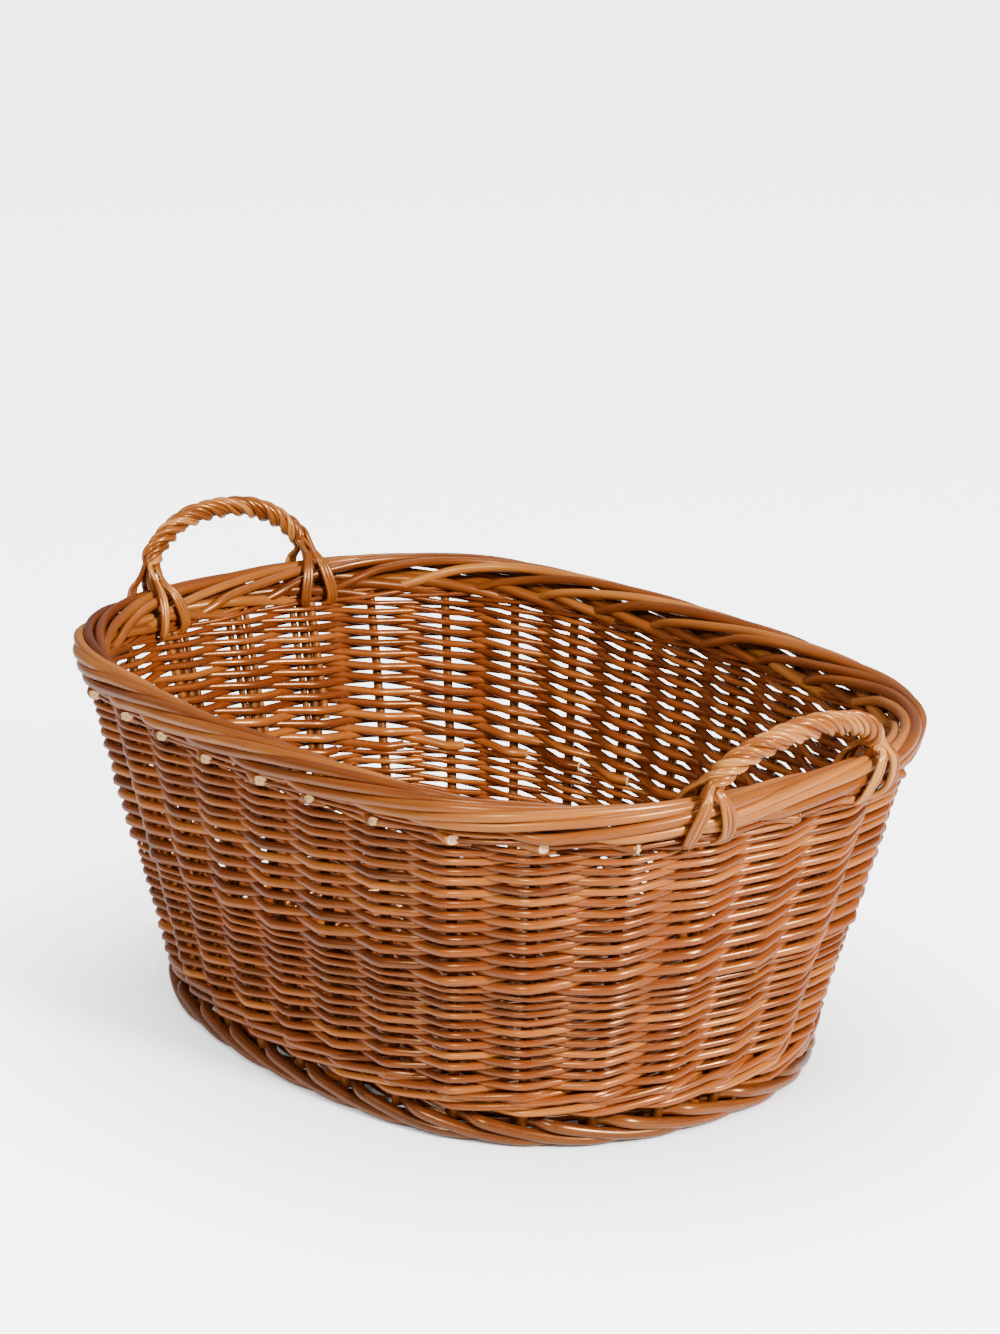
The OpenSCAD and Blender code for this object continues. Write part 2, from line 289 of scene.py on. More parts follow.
class RodBundle:
    """Rods gathered into one piece. Each is a tapered cone, ringed, then bent along its path."""

    _templates: Dict[Tuple[int, int], bpy.types.Mesh] = {}

    def __init__(self, name: str, finish: Finish, sides: int = 10) -> None:
        """Start an empty bundle.

        Args:
            name: name of the piece that it becomes.
            finish: kind of willow.
            sides: number of sides of a rod.
        """
        self.name, self.finish, self.sides = name, finish, sides
        self.bm = bmesh.new()
        self.rods = 0

    @classmethod
    def _template(cls, sides: int, rings: int) -> bpy.types.Mesh:
        """A straight unit rod, made once for each count of sides and rings.

        Args:
            sides: number of sides.
            rings: number of rings of points along it.

        Returns:
            Its mesh, with the rod's own UV map and the attributes that the skin reads.
        """
        key = (sides, rings)
        if key not in cls._templates:
            bm = bmesh.new()
            bmesh.ops.create_cone(bm, cap_ends=True, segments=sides, radius1=1, radius2=1, depth=1)
            long_edges = [e for e in bm.edges if abs(e.verts[0].co.z - e.verts[1].co.z) > 0.5]
            bmesh.ops.subdivide_edges(bm, edges=long_edges, cuts=rings - 2, use_grid_fill=True)
            uv = bm.loops.layers.uv.new("rod")
            bm.verts.layers.float.new("tone")
            bm.verts.layers.float.new("length")
            for face in bm.faces:
                cap = len(face.verts) == sides and abs(face.normal.z) > 0.9
                face.smooth, face.material_index = not cap, int(cap)
                if cap:
                    for edge in face.edges:
                        edge.smooth = False
                centre = face.calc_center_median()
                middle = math.atan2(centre.y, centre.x)
                for loop in face.loops:
                    co = loop.vert.co
                    angle = math.atan2(co.y, co.x)
                    if angle - middle > math.pi:
                        angle -= math.tau
                    elif middle - angle > math.pi:
                        angle += math.tau
                    loop[uv].uv = (co.x, co.y) if cap else (angle / math.tau, co.z + 0.5)
            mesh = bpy.data.meshes.new(f"rod_{sides}_{rings}")
            bm.to_mesh(mesh)
            bm.free()
            cls._templates[key] = mesh
        return cls._templates[key]

    def add(self, path: np.ndarray, radii: np.ndarray, tone: float,
            cut: Optional[np.ndarray] = None) -> None:
        """Bend one rod along a path.

        Args:
            path: points of the centre line.
            radii: the rod's radius at each point.
            tone: 0 for the darkest rods, 1 for the palest.
            cut: direction that the last end is cut to face, or None for a square cut.
        """
        rings = len(path)
        mesh = self._template(self.sides, rings).copy()
        co = np.empty(len(mesh.vertices) * 3)
        mesh.vertices.foreach_get("co", co)
        co = co.reshape(-1, 3)
        ring = np.rint((co[:, 2] + 0.5) * (rings - 1)).astype(int)
        across, up = self._frames(path)
        r = radii[ring][:, None]
        co = path[ring] + r * (co[:, :1] * across[ring] + co[:, 1:2] * up[ring])
        if cut is not None:
            last = ring == rings - 1
            tangent = path[-1] - path[-2]
            tangent /= np.linalg.norm(tangent)
            shift = (co[last] - path[-1]) @ cut / (tangent @ cut)
            co[last] -= shift[:, None] * tangent
        mesh.vertices.foreach_set("co", co.ravel())
        along = np.concatenate([[0], np.cumsum(np.linalg.norm(np.diff(path, axis=0), axis=1))])
        mesh.attributes["tone"].data.foreach_set("value", np.full(len(co), tone))
        mesh.attributes["length"].data.foreach_set("value", along[ring] + self.rods * GOLDEN)
        self.bm.from_mesh(mesh)
        bpy.data.meshes.remove(mesh)
        self.rods += 1

    @staticmethod
    def _frames(path: np.ndarray) -> Tuple[np.ndarray, np.ndarray]:
        """Directions across a path, carried along it so that they don't twist.

        Args:
            path: points of the path.

        Returns:
            A side and an up direction at each point.
        """
        tangent = np.gradient(path, axis=0)
        tangent /= np.linalg.norm(tangent, axis=1)[:, None]
        start = np.array([0.0, 0.0, 1.0]) if abs(tangent[0][2]) < 0.9 else np.array([1.0, 0.0, 0.0])
        across = np.empty_like(path)
        u = start
        for i, t in enumerate(tangent):
            u = u - t * (u @ t)
            u /= np.linalg.norm(u)
            across[i] = u
        return across, np.cross(tangent, across)

    def finish_piece(self, replaced: Sequence[str]) -> bpy.types.Object:
        """Make the object, give it its finish, and let it stand for CAD nodes.

        Args:
            replaced: names of the CAD nodes that it stands for.

        Returns:
            The finished piece.
        """
        mesh = bpy.data.meshes.new(self.name)
        self.bm.to_mesh(mesh)
        self.bm.free()
        piece = bpy.data.objects.new(self.name, mesh)
        bpy.context.scene.collection.objects.link(piece)
        mesh.materials.append(Willow.skin(self.finish))
        mesh.materials.append(Willow.cut())
        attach(piece, "root")
        if replaced:
            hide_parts(*replaced)
        log.info("%s: %d rods, %d faces", self.name, self.rods, len(mesh.polygons))
        return piece


class Willow:
    """The willow materials, built from one shared node group."""

    _made: Dict[str, bpy.types.Material] = {}

    @classmethod
    def group(cls) -> bpy.types.NodeTree:
        """The group that mottles, streaks and knots a rod's skin.

        Returns:
            The node group, made once.
        """
        tree = bpy.data.node_groups.get("willow_skin")
        if tree:
            return tree
        tree = bpy.data.node_groups.new("willow_skin", "ShaderNodeTree")
        for name in ("Dark", "Middle", "Light"):
            tree.interface.new_socket(name, in_out="INPUT", socket_type="NodeSocketColor")
        tree.interface.new_socket("Roughness", in_out="INPUT", socket_type="NodeSocketFloat")
        for name, kind in (("Color", "NodeSocketColor"), ("Roughness", "NodeSocketFloat"),
                           ("Height", "NodeSocketFloat")):
            tree.interface.new_socket(name, in_out="OUTPUT", socket_type=kind)
        net = Net(tree)
        source, sink = net.add("NodeGroupInput"), net.add("NodeGroupOutput")
        uv = net.add("ShaderNodeUVMap", uv_map="rod")
        split = net.add("ShaderNodeSeparateXYZ", Vector=uv.outputs["UV"])
        turn = net.math("MULTIPLY", split.outputs["X"], math.tau)
        length = net.add("ShaderNodeAttribute", attribute_name="length").outputs["Fac"]
        tone = net.add("ShaderNodeAttribute", attribute_name="tone").outputs["Fac"]
        cosine, sine = net.math("COSINE", turn), net.math("SINE", turn)

        def along(stretch: float, round_size: float) -> bpy.types.NodeSocket:
            """A coordinate that runs along the rod and closes round it.

            Args:
                stretch: its scale along the rod.
                round_size: its scale round the rod.

            Returns:
                The coordinate.
            """
            return net.add("ShaderNodeCombineXYZ", X=net.math("MULTIPLY", cosine, round_size),
                           Y=net.math("MULTIPLY", sine, round_size),
                           Z=net.math("MULTIPLY", length, stretch)).outputs["Vector"]

        streak = net.noise(along(14.0, 1.6), 1.0, 3.0)
        mottle = net.noise(along(9.0, 0.35), 1.0, 2.0)
        grain = net.noise(along(60.0, 5.0), 1.0, 2.0)
        knots = net.add("ShaderNodeTexVoronoi", Vector=along(42.0, 0.8))
        knot = net.add("ShaderNodeMapRange", Value=knots.outputs["Distance"])
        for key, value in (("From Min", 0.06), ("From Max", 0.15),
                           ("To Min", 1.0), ("To Max", 0.0)):
            knot.inputs[key].default_value = value
        shade = net.math("ADD", tone, net.math("MULTIPLY", net.math("SUBTRACT", streak, 0.5), 0.55))
        shade = net.math("ADD", shade, net.math("MULTIPLY", net.math("SUBTRACT", mottle, 0.5), 0.7))
        shade = net.math("SUBTRACT", shade, net.math("MULTIPLY", knot.outputs["Result"], 0.35))
        low = net.math("MULTIPLY", shade, 2.0, clamp=True)
        high = net.math("MULTIPLY", net.math("SUBTRACT", shade, 0.5), 2.0, clamp=True)
        first = net.mix(low, source.outputs["Dark"], source.outputs["Middle"])
        colour = net.mix(high, first, source.outputs["Light"])
        rough = net.math("ADD", source.outputs["Roughness"],
                         net.math("MULTIPLY", net.math("SUBTRACT", grain, 0.5), 0.22))
        height = net.math("ADD", net.math("MULTIPLY", grain, 0.35),
                          net.math("MULTIPLY", streak, 0.65))
        height = net.math("ADD", height, net.math("MULTIPLY", knot.outputs["Result"], 0.9))
        net.link(colour, sink.inputs["Color"])
        net.link(rough, sink.inputs["Roughness"])
        net.link(height, sink.inputs["Height"])
        return tree

    @classmethod
    def skin(cls, finish: Finish) -> bpy.types.Material:
        """The skin of one kind of willow.

        Args:
            finish: the kind of willow.

        Returns:
            Its material, made once.
        """
        if finish.value in cls._made:
            return cls._made[finish.value]
        look = LOOKS[finish]
        material, net, shader = cls._principled(finish.value)
        skin = net.add("ShaderNodeGroup", node_tree=cls.group())
        for name, colour in (("Dark", look.dark), ("Middle", look.middle), ("Light", look.light)):
            skin.inputs[name].default_value = (*colour, 1.0)
        skin.inputs["Roughness"].default_value = look.roughness
        bump = net.add("ShaderNodeBump", Height=skin.outputs["Height"])
        bump.inputs["Strength"].default_value = 0.35
        bump.inputs["Distance"].default_value = 0.0006
        net.link(skin.outputs["Color"], shader.inputs["Base Color"])
        net.link(skin.outputs["Roughness"], shader.inputs["Roughness"])
        net.link(bump.outputs["Normal"], shader.inputs["Normal"])
        shader.inputs["Specular IOR Level"].default_value = look.shine
        shader.inputs["Specular Tint"].default_value = SHINE_TINT
        cls._made[finish.value] = material
        return material

    @classmethod
    def cut(cls) -> bpy.types.Material:
        """The pale wood of a cut end, with a darker pith and rim.

        Returns:
            Its material, made once.
        """
        if "cut" in cls._made:
            return cls._made["cut"]
        material, net, shader = cls._principled("willow_cut")
        uv = net.add("ShaderNodeUVMap", uv_map="rod")
        reach = net.add("ShaderNodeVectorMath", operation="LENGTH")
        net.link(uv.outputs["UV"], reach.inputs[0])
        ramp = net.add("ShaderNodeValToRGB", Fac=reach.outputs["Value"])
        stops = ramp.color_ramp.elements
        stops[0].position, stops[0].color = 0.10, (*RING_COLOUR, 1.0)
        stops[1].position, stops[1].color = 0.22, (*CUT_COLOUR, 1.0)
        rim = stops.new(0.86)
        rim.color = (*CUT_COLOUR, 1.0)
        skin = stops.new(0.98)
        skin.color = (*RING_COLOUR, 1.0)
        net.link(ramp.outputs["Color"], shader.inputs["Base Color"])
        shader.inputs["Roughness"].default_value = 0.75
        cls._made["cut"] = material
        return material

    @staticmethod
    def _principled(name: str) -> Tuple[bpy.types.Material, "Net", bpy.types.Node]:
        """Start a material.

        Args:
            name: the material's name.

        Returns:
            The material, the helper for its nodes, and its shader.
        """
        material = bpy.data.materials.new(name)
        material.use_nodes = True
        return material, Net(material.node_tree), material.node_tree.nodes["Principled BSDF"]


class Net:
    """Small helper that adds and links shader nodes."""

    def __init__(self, tree: bpy.types.NodeTree) -> None:
        """Work on one node tree."""
        self.tree = tree

    def link(self, source: bpy.types.NodeSocket, target: bpy.types.NodeSocket) -> None:
        """Link one socket to another."""
        self.tree.links.new(source, target)

    def add(self, kind: str, **settings: object) -> bpy.types.Node:
        """Add a node.

        Args:
            kind: the node's type.
            settings: its properties, and sockets or values for its inputs, by name.

        Returns:
            The new node.
        """
        node = self.tree.nodes.new(kind)
        for key, value in settings.items():
            if key in node.inputs and isinstance(value, bpy.types.NodeSocket):
                self.link(value, node.inputs[key])
            elif key in node.inputs and not hasattr(node, key):
                node.inputs[key].default_value = value
            else:
                setattr(node, key, value)
        return node

    def math(self, operation: str, *values: object, clamp: bool = False) -> bpy.types.NodeSocket:
        """Add a maths node.

        Args:
            operation: what it works out.
            values: sockets or numbers for its inputs.
            clamp: whether its result is kept between 0 and 1.

        Returns:
            Its result.
        """
        node = self.add("ShaderNodeMath", operation=operation, use_clamp=clamp)
        for slot, value in zip(node.inputs, values):
            if isinstance(value, bpy.types.NodeSocket):
                self.link(value, slot)
            else:
                slot.default_value = value
        return node.outputs[0]

    def noise(self, vector: bpy.types.NodeSocket, scale: float,
              detail: float) -> bpy.types.NodeSocket:
        """Add a noise texture.

        Args:
            vector: where it is read.
            scale: its scale.
            detail: its levels of detail.

        Returns:
            Its value.
        """
        node = self.add("ShaderNodeTexNoise", Vector=vector)
        node.inputs["Scale"].default_value = scale
        node.inputs["Detail"].default_value = detail
        return node.outputs["Fac"]

    def mix(self, factor: bpy.types.NodeSocket, first: bpy.types.NodeSocket,
            second: bpy.types.NodeSocket) -> bpy.types.NodeSocket:
        """Add a colour mix.

        Args:
            factor: share of the second colour.
            first: the first colour.
            second: the second colour.

        Returns:
            The mixed colour.
        """
        node = self.add("ShaderNodeMix", data_type="RGBA")
        for slot, socket in ((0, factor), (6, first), (7, second)):
            self.link(socket, node.inputs[slot])
        return node.outputs[2]


class Bench:
    """What the sub-assemblies share: the wall, the sizes read from the frame, and the dice."""

    def __init__(self) -> None:
        """Read the shared sizes from the frame."""
        self.wall = Wall()
        border_low, border_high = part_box("border_outer_rods")
        self.stake_r = 4.0 * MM
        self.stake_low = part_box("stake_8")[0][2]
        self.border_low = border_low[2]
        self.border_reach = border_high[1] - self.wall.rim.half_w - 0.2 * MM
        self.rng = np.random.default_rng(7)

    def tone(self, usual: float, spread: float, low: float, high: float) -> float:
        """A random tone for a rod, kept between low and high."""
        return float(np.clip(self.rng.normal(usual, spread), low, high))

    def standing(self, bundle: RodBundle, s: float, z0: float, z1: float, r0: float,
                 r1: float) -> None:
        """Add a rod that stands in the wall.

        Args:
            bundle: the rods that it joins.
            s: its place, in stake spaces.
            z0: height of its foot.
            z1: height of its head.
            r0: radius at its foot.
            r1: radius at its head.
        """
        count = 24
        z = np.linspace(z0, z1, count)
        sway = 0.25 * MM * smooth_noise(self.rng, count, 6)
        place = s + 0.006 * smooth_noise(self.rng, count, 8)
        tone = self.tone(0.5, 0.15, 0.1, 0.95)
        bundle.add(self.wall.points(z, place, sway), np.linspace(r0, r1, count), tone)

    def wrapped(self, bundle: RodBundle, start: int, knots: Sequence[Knot], r0: float, r1: float,
                tone: float, wander: float = 0.25, slanted: bool = False) -> None:
        """Add a border rod.

        Args:
            bundle: the rods that it joins.
            start: the stake that it turns down from.
            knots: the places that it passes, as (stake spaces on, distance out, height).
            r0: radius at its first end.
            r1: radius at its last end.
            tone: 0 for a dark rod, 1 for a pale one.
            wander: how untidily it lies, in mm.
            slanted: whether its last end is cut to face outwards.
        """
        count = int((knots[-1][0] - knots[0][0]) * 12)
        curve = spline(knots, count)
        s, off, z = curve[:, 0], curve[:, 1], curve[:, 2]
        radius = np.linspace(r0, r1, count)
        off = off + wander * MM * smooth_noise(self.rng, count, 14)
        z = z + wander * MM * smooth_noise(self.rng, count, 14)
        off = np.clip(off, -self.border_reach + radius, self.border_reach - radius)
        z = np.minimum(z, self.wall.top - radius)
        path = self.wall.points(z, start + s, off)
        cut = None
        if slanted:
            outward = self.wall.points(z[-1:], start + s[-1:], off[-1:] + MM)[0] - path[-1]
            along = path[-1] - path[-2]
            cut = outward / np.linalg.norm(outward) + 0.8 * along / np.linalg.norm(along)
            cut = cut / np.linalg.norm(cut)
        bundle.add(path, radius, tone, cut)


@dataclass(frozen=True)
class RandBand:
    """A band of French randing: one weaver starts at every stake and all climb together.

    Args:
        name: the piece's name.
        nodes: CAD nodes that it stands for.
        drop: how far below its outer node's box the first strokes start.
        stop: how far below the top of that box the last strokes end.
        spaces: stake spaces that each weaver travels.
        butt: diameter of a weaver at its thick end.
        waist: diameter four fifths of the way along.
        tip: diameter at its thin end.
        seed: seed for its irregularity.
    """

    name: str
    nodes: Tuple[str, ...]
    drop: float
    stop: float
    spaces: int
    butt: float
    waist: float
    tip: float
    seed: int

    def build(self, bench: Bench) -> List[bpy.types.Object]:
        """Weave the band.

        Args:
            bench: what the sub-assemblies share.

        Returns:
            The finished piece.
        """
        rng = np.random.default_rng(self.seed)
        bundle = RodBundle(self.name, Finish.WEAVE)
        low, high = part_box(self.nodes[0])
        z0, z1 = low[2] - self.drop, high[2] - self.stop
        for start in range(STAKES):
            before, after = rng.uniform(0.22, 0.30), rng.uniform(-0.2, 0.4)
            count = int((before + self.spaces + after) * SAMPLES_PER_SPACE)
            p = np.linspace(-before, self.spaces + after, count)
            t = np.clip(p / self.spaces, 0, 1.05)
            size = rng.uniform(0.92, 1.08)
            radius = size * np.interp(t, (0, 0.82, 1.02), (self.butt, self.waist, self.tip)) / 2
            wave = np.arcsin(WAVE_EDGE * np.cos(math.pi * p)) / math.asin(WAVE_EDGE)
            reach = (bench.stake_r + radius * (1.05 + 0.08 * smooth_noise(rng, count, 12))) * 1.12
            climb = 1.25 * t - 0.25 * t ** 2
            z = z0 + (z1 - z0) * climb + radius
            z = z + 0.35 * MM * smooth_noise(rng, count, 14) + rng.normal() * 0.25 * MM
            s = start + p + 0.012 * smooth_noise(rng, count, 20)
            tone = float(np.clip(rng.normal(0.46, 0.17), 0.05, 0.98))
            bundle.add(bench.wall.points(z, s, -wave * reach), radius, tone)
        return [bundle.finish_piece(self.nodes)]


@dataclass(frozen=True)
class Wale:
    """Rounds of three-rod waling: each rod passes outside two stakes and inside one.

    Args:
        name: the piece's name.
        nodes: CAD nodes that it stands for.
        lift: how far above the bottom of its first node's box the first round lies.
        rise: height gained in a round.
        rounds: number of rounds.
        size: diameter of a rod.
        seed: seed for its irregularity.
        wander: how untidily the rods lie.
    """

    name: str
    nodes: Tuple[str, ...]
    lift: float
    rise: float
    rounds: int
    size: float
    seed: int
    wander: float = 0.3

    def build(self, bench: Bench) -> List[bpy.types.Object]:
        """Weave the wale round the wall.

        Args:
            bench: what the sub-assemblies share.

        Returns:
            The finished piece.
        """
        rng = np.random.default_rng(self.seed)
        bundle = RodBundle(self.name, Finish.WEAVE)
        z0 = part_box(self.nodes[0])[0][2] + self.lift
        lengths = 3 * self.rounds
        for lane in range(3):
            for piece in range(lengths):
                first = lane + piece * STAKES * self.rounds / lengths
                last = first + STAKES * self.rounds / lengths + 0.9
                count = int((last - first) * SAMPLES_PER_SPACE)
                s = np.linspace(first, last, count)
                phase = (s - lane) * math.tau / 3
                ends = (1.1, 0.82) if piece % 2 else (0.82, 1.1)
                radius = self.size / 2 * np.linspace(*ends, count)
                wave = np.clip(0.33 - 1.33 * np.cos(phase), -1, 1)
                off = wave * (bench.stake_r + radius * 0.98)
                z = z0 + self.rise * s / STAKES - self.size * 0.62 * np.sin(phase)
                z = z + self.wander * MM * smooth_noise(rng, count, 10)
                tone = float(np.clip(rng.normal(0.5, 0.18), 0.05, 0.98))
                bundle.add(bench.wall.points(z, s, off), radius, tone)
        return [bundle.finish_piece(self.nodes)]


@dataclass(frozen=True)
class Stakes:
    """The side stakes, from the foot to the turn of the border.

    Args:
        foot_gap: how far above the CAD stakes' ends they start.
        butt: thickness at the foot, as a share of the CAD stake's.
        tip: the same at the head.
    """

    foot_gap: float = 12 * MM
    butt: float = 1.05
    tip: float = 0.92

    def build(self, bench: Bench) -> List[bpy.types.Object]:
        """Stand the stakes in the wall.

        Args:
            bench: what the sub-assemblies share.

        Returns:
            The finished piece.
        """
        bundle = RodBundle("side_stakes", Finish.STICK, 12)
        for i in range(STAKES):
            bench.standing(bundle, i, bench.stake_low + self.foot_gap, bench.border_low + 1 * MM,
                           bench.stake_r * self.butt, bench.stake_r * self.tip)
        return [bundle.finish_piece(STAKE_NODES)]


@dataclass(frozen=True)
class ByeStakes:
    """The second rods beside the stakes under the handles.

    Args:
        beside: distance from the middle of a stake.
        butt: radius at the foot.
        tip: radius at the head.
        level: height at which that distance is measured.
        places: stakes counted from the middle of an end, and the side of each.
    """

    beside: float = 7.6 * MM
    butt: float = 3 * MM
    tip: float = 2.6 * MM
    level: float = 0.14
    places: Tuple[Tuple[int, int], ...] = ((-1, 1), (0, -1), (0, 1), (1, -1))

    def build(self, bench: Bench) -> List[bpy.types.Object]:
        """Stand the bye-stakes beside the stakes.

        Args:
            bench: what the sub-assemblies share.

        Returns:
            The finished piece.
        """
        bundle = RodBundle("bye_stake_rods", Finish.STICK, 10)
        low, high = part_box("bye_stakes")
        gap = self.beside / bench.wall.space(self.level)
        for end in (0, STAKES // 2):
            for i, way in self.places:
                bench.standing(bundle, end + i + way * gap, low[2], high[2], self.butt, self.tip)
        return [bundle.finish_piece(["bye_stakes"])]


@dataclass(frozen=True)
class Foot:
    """The foot border: each rod comes out between two stakes and runs down under the next.

    Args:
        butt: radius of a rod at its first end.
        tip: radius at its last end.
        knots: its way, as (stake spaces on, mm out, mm high).
    """

    butt: float = 4.8 * MM
    tip: float = 3.6 * MM
    knots: Tuple[Knot, ...] = (
        (-0.15, -7, 16), (0.18, -1, 17.5), (0.45, 7, 17), (0.9, 10.6, 12.2), (1.5, 10.4, 7.0),
        (2.1, 7.6, 4.9), (2.7, 1, 4.5), (3.3, -6, 4.6), (3.6, -9, 6))

    def build(self, bench: Bench) -> List[bpy.types.Object]:
        """Turn the foot's rods down one after another.

        Args:
            bench: what the sub-assemblies share.

        Returns:
            The finished piece.
        """
        bundle = RodBundle("foot_border", Finish.FOOT, 12)
        knots = [(s, off * MM, z * MM) for s, off, z in self.knots]
        for i in range(STAKES):
            bench.wrapped(bundle, i, knots, self.butt, self.tip, bench.tone(0.5, 0.16, 0.1, 0.95))
        return [bundle.finish_piece(["foot_rod_lower_outer", "foot_rod_lower_inner",
                                     "foot_rod_upper"])]


@dataclass(frozen=True)
class Border:
    """The border: each stake turns down, runs outside and over the rim, and is cut outside.

    Args:
        butt: radius of a rod at the stake.
        tip: radius at its cut end.
        wander: how untidily the rods lie, in mm.
    """

    butt: float = 4.35 * MM
    tip: float = 3.5 * MM
    wander: float = 0.55

    @staticmethod
    def _way(late: float, rise: float, dive: float, end: float) -> Tuple[Knot, ...]:
        """The way of one rod.

        Args:
            late: stake spaces by which it comes out late.
            rise: mm by which its outside stroke lies high.
            dive: stake spaces by which it dives inside late.
            end: stake spaces from the stake to the cut end.

        Returns:
            Knots of (stake spaces on, mm out, mm above the rim).
        """
        return ((0.0, 0.0, -33.0), (0.4, -3.6, -28.0), (0.8, -6.6, -24.0), (1.15, -6.4, -21.0),
                (1.55 + late, 1.0, -21.0), (2.0 + late, 8.6, -21.4 + rise),
                (2.6, 10.7, -17.4 + rise), (3.3, 10.7, -11.6 + rise), (4.1, 7.6, -6.2),
                (5.0, 1.4, -4.5), (5.9 + dive, -5.6, -5.4), (6.6 + dive, -9.6, -9.8),
                (7.15, -9.8, -16.5), (7.5, -6.0, -23.8), (7.75, 0.0, -28.6), (7.95, 6.0, -30.2),
                (end, 11.2, -31.0))

    def build(self, bench: Bench) -> List[bpy.types.Object]:
        """Turn down a rod at every stake.

        Args:
            bench: what the sub-assemblies share.

        Returns:
            The finished piece.
        """
        bundle = RodBundle("border_rods", Finish.BORDER, 12)
        top, rng = bench.wall.top, bench.rng
        for i in range(STAKES):
            size = rng.uniform(0.90, 1.08)
            late, rise, dive = rng.uniform(-0.16, 0.16), rng.normal() * 0.9, rng.uniform(-0.2, 0.2)
            end = 8.12 + rng.uniform(-0.12, 0.14)
            knots = [(s, off * MM, top + z * MM) for s, off, z in self._way(late, rise, dive, end)]
            bench.wrapped(bundle, i, knots, self.butt * size, self.tip * size,
                          bench.tone(0.5, 0.21, 0.05, 0.98), self.wander, True)
        return [bundle.finish_piece(["border_outer_rods", "border_inner_rods"])]


@dataclass(frozen=True)
class Base:
    """The woven floor: long sticks threaded through cross sticks, with thin rods woven round.

    Args:
        rod: diameter of a weaver.
        lift: how far a weaver passes over or under the sticks' middle.
        stick_clear: least distance from a filling rod to a long stick.
        corner_left: corner radius that is left inside the last round.
    """

    rod: float = 5.6 * MM
    lift: float = 5.2 * MM
    stick_clear: float = 6 * MM
    corner_left: float = 12 * MM

    def build(self, bench: Bench) -> List[bpy.types.Object]:
        """Lay the sticks, weave round them, and return the two pieces."""
        return [self._sticks(bench), self._weave(bench)]

    @staticmethod
    def _middle(node: str, axis: int) -> float:
        """The middle of a node's box along one axis."""
        low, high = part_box(node)
        return (low[axis] + high[axis]) / 2

    def _sticks(self, bench: Bench) -> bpy.types.Object:
        """The base sticks.

        Args:
            bench: what the sub-assemblies share.

        Returns:
            The finished piece.
        """
        bundle = RodBundle("base_sticks", Finish.STICK, 12)
        for node in LONG_NODES + CROSS_NODES:
            low, high = (np.array(corner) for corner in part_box(node))
            centre, size = (low + high) / 2, high - low
            axis = int(np.argmax(size))
            ends = np.array([centre, centre])
            ends[0][axis], ends[1][axis] = low[axis], high[axis]
            path = np.linspace(ends[0], ends[1], 30)
            path[:, 2] += 0.4 * MM * smooth_noise(bench.rng, 30, 8)
            radius = np.full(30, size[2] / 2 * 0.96)
            bundle.add(path, radius, float(bench.rng.uniform(0.3, 0.7)))
        return bundle.finish_piece(LONG_NODES + CROSS_NODES)

    def _weave(self, bench: Bench) -> bpy.types.Object:
        """Rounds of thin rods over and under the sticks in turn, and straight rods in the middle.

        Args:
            bench: what the sub-assemblies share.

        Returns:
            The finished piece.
        """
        bundle = RodBundle("base_rounds", Finish.WEAVE, 8)
        level = self._middle("base_weave", 2)
        t = level / bench.wall.top
        base, rim = bench.wall.base, bench.wall.rim
        outline = Outline(*(getattr(base, k) * (1 - t) + getattr(rim, k) * t
                            for k in ("half_l", "half_w", "corner", "flat")))
        cross_x = [self._middle(node, 0) for node in CROSS_NODES]
        long_y = [self._middle(node, 1) for node in LONG_NODES]
        rounds = int((outline.corner - self.corner_left) / self.rod)
        samples = 361
        f = np.linspace(0, 1, samples)
        for k in range(rounds):
            xy, _ = outline.at(f, bench.stake_r + self.rod * (k + 0.4))
            crossings = []
            for x in cross_x:
                crossings += list(np.where(np.diff(np.sign(xy[:, 0] - x)) != 0)[0])
            for y in long_y:
                hits = np.where(np.diff(np.sign(xy[:, 1] - y + 1e-7)) != 0)[0]
                crossings += [h for h in hits if abs(xy[h, 0]) > abs(cross_x[0])]
            marks = np.sort(np.array(crossings, dtype=float))
            phase = np.interp(np.arange(samples), marks, np.arange(len(marks)),
                              left=-0.5, right=len(marks) - 0.5)
            lift = np.cos(math.pi * (phase + k % 2)) * self.lift
            tone = bench.tone(0.42, 0.18, 0.05, 0.95)
            radius = self.rod / 2 * bench.rng.uniform(0.9, 1.02)
            bundle.add(np.column_stack([xy, level + lift]), np.full(samples, radius), tone)
        inner = outline.half_w - (bench.stake_r + self.rod * rounds)
        reach = outline.half_l - (outline.half_w - inner) + 4 * MM
        samples = 90
        for j, y in enumerate(np.arange(-inner, inner + self.rod / 2, self.rod)):
            if min(abs(y - stick) for stick in long_y) < self.stick_clear:
                continue
            x = np.linspace(-reach, reach, samples)
            phase = (x - cross_x[0]) / (cross_x[1] - cross_x[0])
            lift = np.cos(math.pi * (phase + j % 2)) * self.lift
            path = np.column_stack([x, np.full(samples, y), level + lift])
            bundle.add(path, np.full(samples, self.rod / 2), float(bench.rng.uniform(0.3, 0.6)))
        return bundle.finish_piece(["base_weave"])


